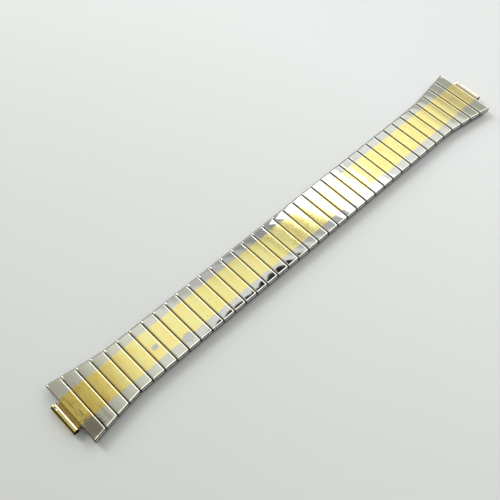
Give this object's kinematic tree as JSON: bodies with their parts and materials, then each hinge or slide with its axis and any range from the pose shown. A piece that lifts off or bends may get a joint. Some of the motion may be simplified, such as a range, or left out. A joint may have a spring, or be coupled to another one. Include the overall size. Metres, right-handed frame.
{
  "type": "expansion watch band",
  "caption": "Two-tone expansion watch band of staggered sprung sleeves with bevelled caps, flared ends and spring bar tubes.",
  "frame": {"origin": "under the middle of the middle link, on the wrist side of the band laid flat", "axes": "+X along the band towards the far end, +Y across the band, +Z from the wrist side to the caps"},
  "size_m": [0.1612, 0.0194, 0.0031],
  "materials": {
    "two_tone_steel": "satin, gold-coloured centre stripe",
    "steel": "satin",
    "spring_steel": "bright rolled",
    "gold_plate": "polished"
  },
  "bodies": {
    "link_01": {"link_01": "two_tone_steel"},
    "link_02": {"link_02": "two_tone_steel"},
    "link_03": {"link_03": "two_tone_steel"},
    "link_04": {"link_04": "two_tone_steel"},
    "link_05": {"link_05": "two_tone_steel"},
    "link_06": {"link_06": "two_tone_steel"},
    "link_07": {"link_07": "two_tone_steel"},
    "link_08": {"link_08": "two_tone_steel"},
    "link_09": {"link_09": "two_tone_steel"},
    "link_10": {"link_10": "two_tone_steel"},
    "link_11": {"link_11": "two_tone_steel"},
    "link_12": {"link_12": "two_tone_steel"},
    "link_13": {"link_13": "two_tone_steel"},
    "link_14": {"link_14": "two_tone_steel"},
    "link_15": {"link_15": "two_tone_steel"},
    "link_16": {"link_16": "two_tone_steel"},
    "link_17": {"link_17": "two_tone_steel"},
    "link_18": {"link_18": "two_tone_steel"},
    "link_19": {"link_19": "two_tone_steel"},
    "link_20": {"link_20": "two_tone_steel", "connecting_bows": "spring_steel"},
    "link_21": {"link_21": "two_tone_steel"},
    "link_22": {"link_22": "two_tone_steel"},
    "link_23": {"link_23": "two_tone_steel"},
    "link_24": {"link_24": "two_tone_steel"},
    "link_25": {"link_25": "two_tone_steel"},
    "link_26": {"link_26": "two_tone_steel"},
    "link_27": {"link_27": "two_tone_steel"},
    "link_28": {"link_28": "two_tone_steel"},
    "link_29": {"link_29": "two_tone_steel"},
    "link_30": {"link_30": "two_tone_steel"},
    "link_31": {"link_31": "two_tone_steel"},
    "link_32": {"link_32": "two_tone_steel"},
    "link_33": {"link_33": "two_tone_steel"},
    "link_34": {"link_34": "two_tone_steel"},
    "link_35": {"link_35": "two_tone_steel"},
    "link_36": {"link_36": "two_tone_steel"},
    "link_37": {"link_37": "two_tone_steel"},
    "link_38": {"link_38": "two_tone_steel"},
    "link_39": {"link_39": "two_tone_steel"},
    "lower_link_02": {"lower_link_02": "steel"},
    "lower_link_04": {"lower_link_04": "steel"},
    "lower_link_06": {"lower_link_06": "steel"},
    "lower_link_08": {"lower_link_08": "steel"},
    "lower_link_10": {"lower_link_10": "steel"},
    "lower_link_12": {"lower_link_12": "steel"},
    "lower_link_14": {"lower_link_14": "steel"},
    "lower_link_16": {"lower_link_16": "steel"},
    "lower_link_18": {"lower_link_18": "steel"},
    "lower_link_21": {"lower_link_21": "steel"},
    "lower_link_23": {"lower_link_23": "steel"},
    "lower_link_25": {"lower_link_25": "steel"},
    "lower_link_27": {"lower_link_27": "steel"},
    "lower_link_29": {"lower_link_29": "steel"},
    "lower_link_31": {"lower_link_31": "steel"},
    "lower_link_33": {"lower_link_33": "steel"},
    "lower_link_35": {"lower_link_35": "steel"},
    "lower_link_37": {"lower_link_37": "steel"},
    "near_end_tube": {"near_end_tube": "gold_plate"},
    "far_end_tube": {"far_end_tube": "gold_plate"}
  },
  "joints": [
    {"name": "stretch_20", "type": "slide", "parent": "link_20", "child": "link_21", "axis": [1, 0, 0], "range_m": [0, 0.0022], "stiffness_N_per_m": 2200, "deforming": ["connecting_bows"]},
    {"name": "stretch_21", "type": "slide", "parent": "link_21", "child": "lower_link_21", "axis": [1, 0, 0], "range_m": [0, 0.0022], "stiffness_N_per_m": 2200},
    {"name": "curl_21", "type": "hinge", "parent": "lower_link_21", "child": "link_22", "pos_m": [0.008, 0, 0], "axis": [0, 1, 0], "range_deg": [0, 16]},
    {"name": "stretch_22", "type": "slide", "parent": "link_22", "child": "link_23", "axis": [1, 0, 0], "range_m": [0, 0.0022], "stiffness_N_per_m": 2200},
    {"name": "stretch_23", "type": "slide", "parent": "link_23", "child": "lower_link_23", "axis": [1, 0, 0], "range_m": [0, 0.0022], "stiffness_N_per_m": 2200},
    {"name": "curl_23", "type": "hinge", "parent": "lower_link_23", "child": "link_24", "pos_m": [0.016, 0, 0], "axis": [0, 1, 0], "range_deg": [0, 16]},
    {"name": "stretch_24", "type": "slide", "parent": "link_24", "child": "link_25", "axis": [1, 0, 0], "range_m": [0, 0.0022], "stiffness_N_per_m": 2200},
    {"name": "stretch_25", "type": "slide", "parent": "link_25", "child": "lower_link_25", "axis": [1, 0, 0], "range_m": [0, 0.0022], "stiffness_N_per_m": 2200},
    {"name": "curl_25", "type": "hinge", "parent": "lower_link_25", "child": "link_26", "pos_m": [0.024, 0, 0], "axis": [0, 1, 0], "range_deg": [0, 16]},
    {"name": "stretch_26", "type": "slide", "parent": "link_26", "child": "link_27", "axis": [1, 0, 0], "range_m": [0, 0.0022], "stiffness_N_per_m": 2200},
    {"name": "stretch_27", "type": "slide", "parent": "link_27", "child": "lower_link_27", "axis": [1, 0, 0], "range_m": [0, 0.0022], "stiffness_N_per_m": 2200},
    {"name": "curl_27", "type": "hinge", "parent": "lower_link_27", "child": "link_28", "pos_m": [0.032, 0, 0], "axis": [0, 1, 0], "range_deg": [0, 16]},
    {"name": "stretch_28", "type": "slide", "parent": "link_28", "child": "link_29", "axis": [1, 0, 0], "range_m": [0, 0.0022], "stiffness_N_per_m": 2200},
    {"name": "stretch_29", "type": "slide", "parent": "link_29", "child": "lower_link_29", "axis": [1, 0, 0], "range_m": [0, 0.0022], "stiffness_N_per_m": 2200},
    {"name": "curl_29", "type": "hinge", "parent": "lower_link_29", "child": "link_30", "pos_m": [0.04, 0, 0], "axis": [0, 1, 0], "range_deg": [0, 16]},
    {"name": "stretch_30", "type": "slide", "parent": "link_30", "child": "link_31", "axis": [1, 0, 0], "range_m": [0, 0.0022], "stiffness_N_per_m": 2200},
    {"name": "stretch_31", "type": "slide", "parent": "link_31", "child": "lower_link_31", "axis": [1, 0, 0], "range_m": [0, 0.0022], "stiffness_N_per_m": 2200},
    {"name": "curl_31", "type": "hinge", "parent": "lower_link_31", "child": "link_32", "pos_m": [0.048, 0, 0], "axis": [0, 1, 0], "range_deg": [0, 16]},
    {"name": "stretch_32", "type": "slide", "parent": "link_32", "child": "link_33", "axis": [1, 0, 0], "range_m": [0, 0.0022], "stiffness_N_per_m": 2200},
    {"name": "stretch_33", "type": "slide", "parent": "link_33", "child": "lower_link_33", "axis": [1, 0, 0], "range_m": [0, 0.0022], "stiffness_N_per_m": 2200},
    {"name": "curl_33", "type": "hinge", "parent": "lower_link_33", "child": "link_34", "pos_m": [0.056, 0, 0], "axis": [0, 1, 0], "range_deg": [0, 16]},
    {"name": "stretch_34", "type": "slide", "parent": "link_34", "child": "link_35", "axis": [1, 0, 0], "range_m": [0, 0.0022], "stiffness_N_per_m": 2200},
    {"name": "stretch_35", "type": "slide", "parent": "link_35", "child": "lower_link_35", "axis": [1, 0, 0], "range_m": [0, 0.0022], "stiffness_N_per_m": 2200},
    {"name": "curl_35", "type": "hinge", "parent": "lower_link_35", "child": "link_36", "pos_m": [0.064, 0, 0], "axis": [0, 1, 0], "range_deg": [0, 16]},
    {"name": "stretch_36", "type": "slide", "parent": "link_36", "child": "link_37", "axis": [1, 0, 0], "range_m": [0, 0.0022], "stiffness_N_per_m": 2200},
    {"name": "stretch_37", "type": "slide", "parent": "link_37", "child": "lower_link_37", "axis": [1, 0, 0], "range_m": [0, 0.0022], "stiffness_N_per_m": 2200},
    {"name": "curl_37", "type": "hinge", "parent": "lower_link_37", "child": "link_38", "pos_m": [0.072, 0, 0], "axis": [0, 1, 0], "range_deg": [0, 16]},
    {"name": "stretch_38", "type": "slide", "parent": "link_38", "child": "link_39", "axis": [1, 0, 0], "range_m": [0, 0.0022], "stiffness_N_per_m": 2200},
    {"name": "stretch_19", "type": "slide", "parent": "link_20", "child": "link_19", "axis": [-1, 0, 0], "range_m": [0, 0.0022], "stiffness_N_per_m": 2200},
    {"name": "stretch_18", "type": "slide", "parent": "link_19", "child": "lower_link_18", "axis": [-1, 0, 0], "range_m": [0, 0.0022], "stiffness_N_per_m": 2200},
    {"name": "curl_18", "type": "hinge", "parent": "lower_link_18", "child": "link_18", "pos_m": [-0.008, 0, 0], "axis": [0, -1, 0], "range_deg": [0, 16]},
    {"name": "stretch_17", "type": "slide", "parent": "link_18", "child": "link_17", "axis": [-1, 0, 0], "range_m": [0, 0.0022], "stiffness_N_per_m": 2200},
    {"name": "stretch_16", "type": "slide", "parent": "link_17", "child": "lower_link_16", "axis": [-1, 0, 0], "range_m": [0, 0.0022], "stiffness_N_per_m": 2200},
    {"name": "curl_16", "type": "hinge", "parent": "lower_link_16", "child": "link_16", "pos_m": [-0.016, 0, 0], "axis": [0, -1, 0], "range_deg": [0, 16]},
    {"name": "stretch_15", "type": "slide", "parent": "link_16", "child": "link_15", "axis": [-1, 0, 0], "range_m": [0, 0.0022], "stiffness_N_per_m": 2200},
    {"name": "stretch_14", "type": "slide", "parent": "link_15", "child": "lower_link_14", "axis": [-1, 0, 0], "range_m": [0, 0.0022], "stiffness_N_per_m": 2200},
    {"name": "curl_14", "type": "hinge", "parent": "lower_link_14", "child": "link_14", "pos_m": [-0.024, 0, 0], "axis": [0, -1, 0], "range_deg": [0, 16]},
    {"name": "stretch_13", "type": "slide", "parent": "link_14", "child": "link_13", "axis": [-1, 0, 0], "range_m": [0, 0.0022], "stiffness_N_per_m": 2200},
    {"name": "stretch_12", "type": "slide", "parent": "link_13", "child": "lower_link_12", "axis": [-1, 0, 0], "range_m": [0, 0.0022], "stiffness_N_per_m": 2200},
    {"name": "curl_12", "type": "hinge", "parent": "lower_link_12", "child": "link_12", "pos_m": [-0.032, 0, 0], "axis": [0, -1, 0], "range_deg": [0, 16]},
    {"name": "stretch_11", "type": "slide", "parent": "link_12", "child": "link_11", "axis": [-1, 0, 0], "range_m": [0, 0.0022], "stiffness_N_per_m": 2200},
    {"name": "stretch_10", "type": "slide", "parent": "link_11", "child": "lower_link_10", "axis": [-1, 0, 0], "range_m": [0, 0.0022], "stiffness_N_per_m": 2200},
    {"name": "curl_10", "type": "hinge", "parent": "lower_link_10", "child": "link_10", "pos_m": [-0.04, 0, 0], "axis": [0, -1, 0], "range_deg": [0, 16]},
    {"name": "stretch_09", "type": "slide", "parent": "link_10", "child": "link_09", "axis": [-1, 0, 0], "range_m": [0, 0.0022], "stiffness_N_per_m": 2200},
    {"name": "stretch_08", "type": "slide", "parent": "link_09", "child": "lower_link_08", "axis": [-1, 0, 0], "range_m": [0, 0.0022], "stiffness_N_per_m": 2200},
    {"name": "curl_08", "type": "hinge", "parent": "lower_link_08", "child": "link_08", "pos_m": [-0.048, 0, 0], "axis": [0, -1, 0], "range_deg": [0, 16]},
    {"name": "stretch_07", "type": "slide", "parent": "link_08", "child": "link_07", "axis": [-1, 0, 0], "range_m": [0, 0.0022], "stiffness_N_per_m": 2200},
    {"name": "stretch_06", "type": "slide", "parent": "link_07", "child": "lower_link_06", "axis": [-1, 0, 0], "range_m": [0, 0.0022], "stiffness_N_per_m": 2200},
    {"name": "curl_06", "type": "hinge", "parent": "lower_link_06", "child": "link_06", "pos_m": [-0.056, 0, 0], "axis": [0, -1, 0], "range_deg": [0, 16]},
    {"name": "stretch_05", "type": "slide", "parent": "link_06", "child": "link_05", "axis": [-1, 0, 0], "range_m": [0, 0.0022], "stiffness_N_per_m": 2200},
    {"name": "stretch_04", "type": "slide", "parent": "link_05", "child": "lower_link_04", "axis": [-1, 0, 0], "range_m": [0, 0.0022], "stiffness_N_per_m": 2200},
    {"name": "curl_04", "type": "hinge", "parent": "lower_link_04", "child": "link_04", "pos_m": [-0.064, 0, 0], "axis": [0, -1, 0], "range_deg": [0, 16]},
    {"name": "stretch_03", "type": "slide", "parent": "link_04", "child": "link_03", "axis": [-1, 0, 0], "range_m": [0, 0.0022], "stiffness_N_per_m": 2200},
    {"name": "stretch_02", "type": "slide", "parent": "link_03", "child": "lower_link_02", "axis": [-1, 0, 0], "range_m": [0, 0.0022], "stiffness_N_per_m": 2200},
    {"name": "curl_02", "type": "hinge", "parent": "lower_link_02", "child": "link_02", "pos_m": [-0.072, 0, 0], "axis": [0, -1, 0], "range_deg": [0, 16]},
    {"name": "stretch_01", "type": "slide", "parent": "link_02", "child": "link_01", "axis": [-1, 0, 0], "range_m": [0, 0.0022], "stiffness_N_per_m": 2200},
    {"name": "near_end_tube_slide", "type": "slide", "parent": "link_01", "child": "near_end_tube", "axis": [-1, 0, 0], "range_m": [-0.00035, 0]},
    {"name": "far_end_tube_slide", "type": "slide", "parent": "link_39", "child": "far_end_tube", "axis": [1, 0, 0], "range_m": [-0.00035, 0]}
  ],
  "couplings": [
    {"joint": "stretch_21", "follows": "stretch_20", "ratio": 1},
    {"joint": "stretch_22", "follows": "stretch_20", "ratio": 1},
    {"joint": "stretch_23", "follows": "stretch_20", "ratio": 1},
    {"joint": "curl_23", "follows": "curl_21", "ratio": 1},
    {"joint": "stretch_24", "follows": "stretch_20", "ratio": 1},
    {"joint": "stretch_25", "follows": "stretch_20", "ratio": 1},
    {"joint": "curl_25", "follows": "curl_21", "ratio": 1},
    {"joint": "stretch_26", "follows": "stretch_20", "ratio": 1},
    {"joint": "stretch_27", "follows": "stretch_20", "ratio": 1},
    {"joint": "curl_27", "follows": "curl_21", "ratio": 1},
    {"joint": "stretch_28", "follows": "stretch_20", "ratio": 1},
    {"joint": "stretch_29", "follows": "stretch_20", "ratio": 1},
    {"joint": "curl_29", "follows": "curl_21", "ratio": 1},
    {"joint": "stretch_30", "follows": "stretch_20", "ratio": 1},
    {"joint": "stretch_31", "follows": "stretch_20", "ratio": 1},
    {"joint": "curl_31", "follows": "curl_21", "ratio": 1},
    {"joint": "stretch_32", "follows": "stretch_20", "ratio": 1},
    {"joint": "stretch_33", "follows": "stretch_20", "ratio": 1},
    {"joint": "curl_33", "follows": "curl_21", "ratio": 1},
    {"joint": "stretch_34", "follows": "stretch_20", "ratio": 1},
    {"joint": "stretch_35", "follows": "stretch_20", "ratio": 1},
    {"joint": "curl_35", "follows": "curl_21", "ratio": 1},
    {"joint": "stretch_36", "follows": "stretch_20", "ratio": 1},
    {"joint": "stretch_37", "follows": "stretch_20", "ratio": 1},
    {"joint": "curl_37", "follows": "curl_21", "ratio": 1},
    {"joint": "stretch_38", "follows": "stretch_20", "ratio": 1},
    {"joint": "stretch_19", "follows": "stretch_20", "ratio": 1},
    {"joint": "stretch_18", "follows": "stretch_20", "ratio": 1},
    {"joint": "curl_18", "follows": "curl_21", "ratio": 1},
    {"joint": "stretch_17", "follows": "stretch_20", "ratio": 1},
    {"joint": "stretch_16", "follows": "stretch_20", "ratio": 1},
    {"joint": "curl_16", "follows": "curl_21", "ratio": 1},
    {"joint": "stretch_15", "follows": "stretch_20", "ratio": 1},
    {"joint": "stretch_14", "follows": "stretch_20", "ratio": 1},
    {"joint": "curl_14", "follows": "curl_21", "ratio": 1},
    {"joint": "stretch_13", "follows": "stretch_20", "ratio": 1},
    {"joint": "stretch_12", "follows": "stretch_20", "ratio": 1},
    {"joint": "curl_12", "follows": "curl_21", "ratio": 1},
    {"joint": "stretch_11", "follows": "stretch_20", "ratio": 1},
    {"joint": "stretch_10", "follows": "stretch_20", "ratio": 1},
    {"joint": "curl_10", "follows": "curl_21", "ratio": 1},
    {"joint": "stretch_09", "follows": "stretch_20", "ratio": 1},
    {"joint": "stretch_08", "follows": "stretch_20", "ratio": 1},
    {"joint": "curl_08", "follows": "curl_21", "ratio": 1},
    {"joint": "stretch_07", "follows": "stretch_20", "ratio": 1},
    {"joint": "stretch_06", "follows": "stretch_20", "ratio": 1},
    {"joint": "curl_06", "follows": "curl_21", "ratio": 1},
    {"joint": "stretch_05", "follows": "stretch_20", "ratio": 1},
    {"joint": "stretch_04", "follows": "stretch_20", "ratio": 1},
    {"joint": "curl_04", "follows": "curl_21", "ratio": 1},
    {"joint": "stretch_03", "follows": "stretch_20", "ratio": 1},
    {"joint": "stretch_02", "follows": "stretch_20", "ratio": 1},
    {"joint": "curl_02", "follows": "curl_21", "ratio": 1},
    {"joint": "stretch_01", "follows": "stretch_20", "ratio": 1}
  ]
}
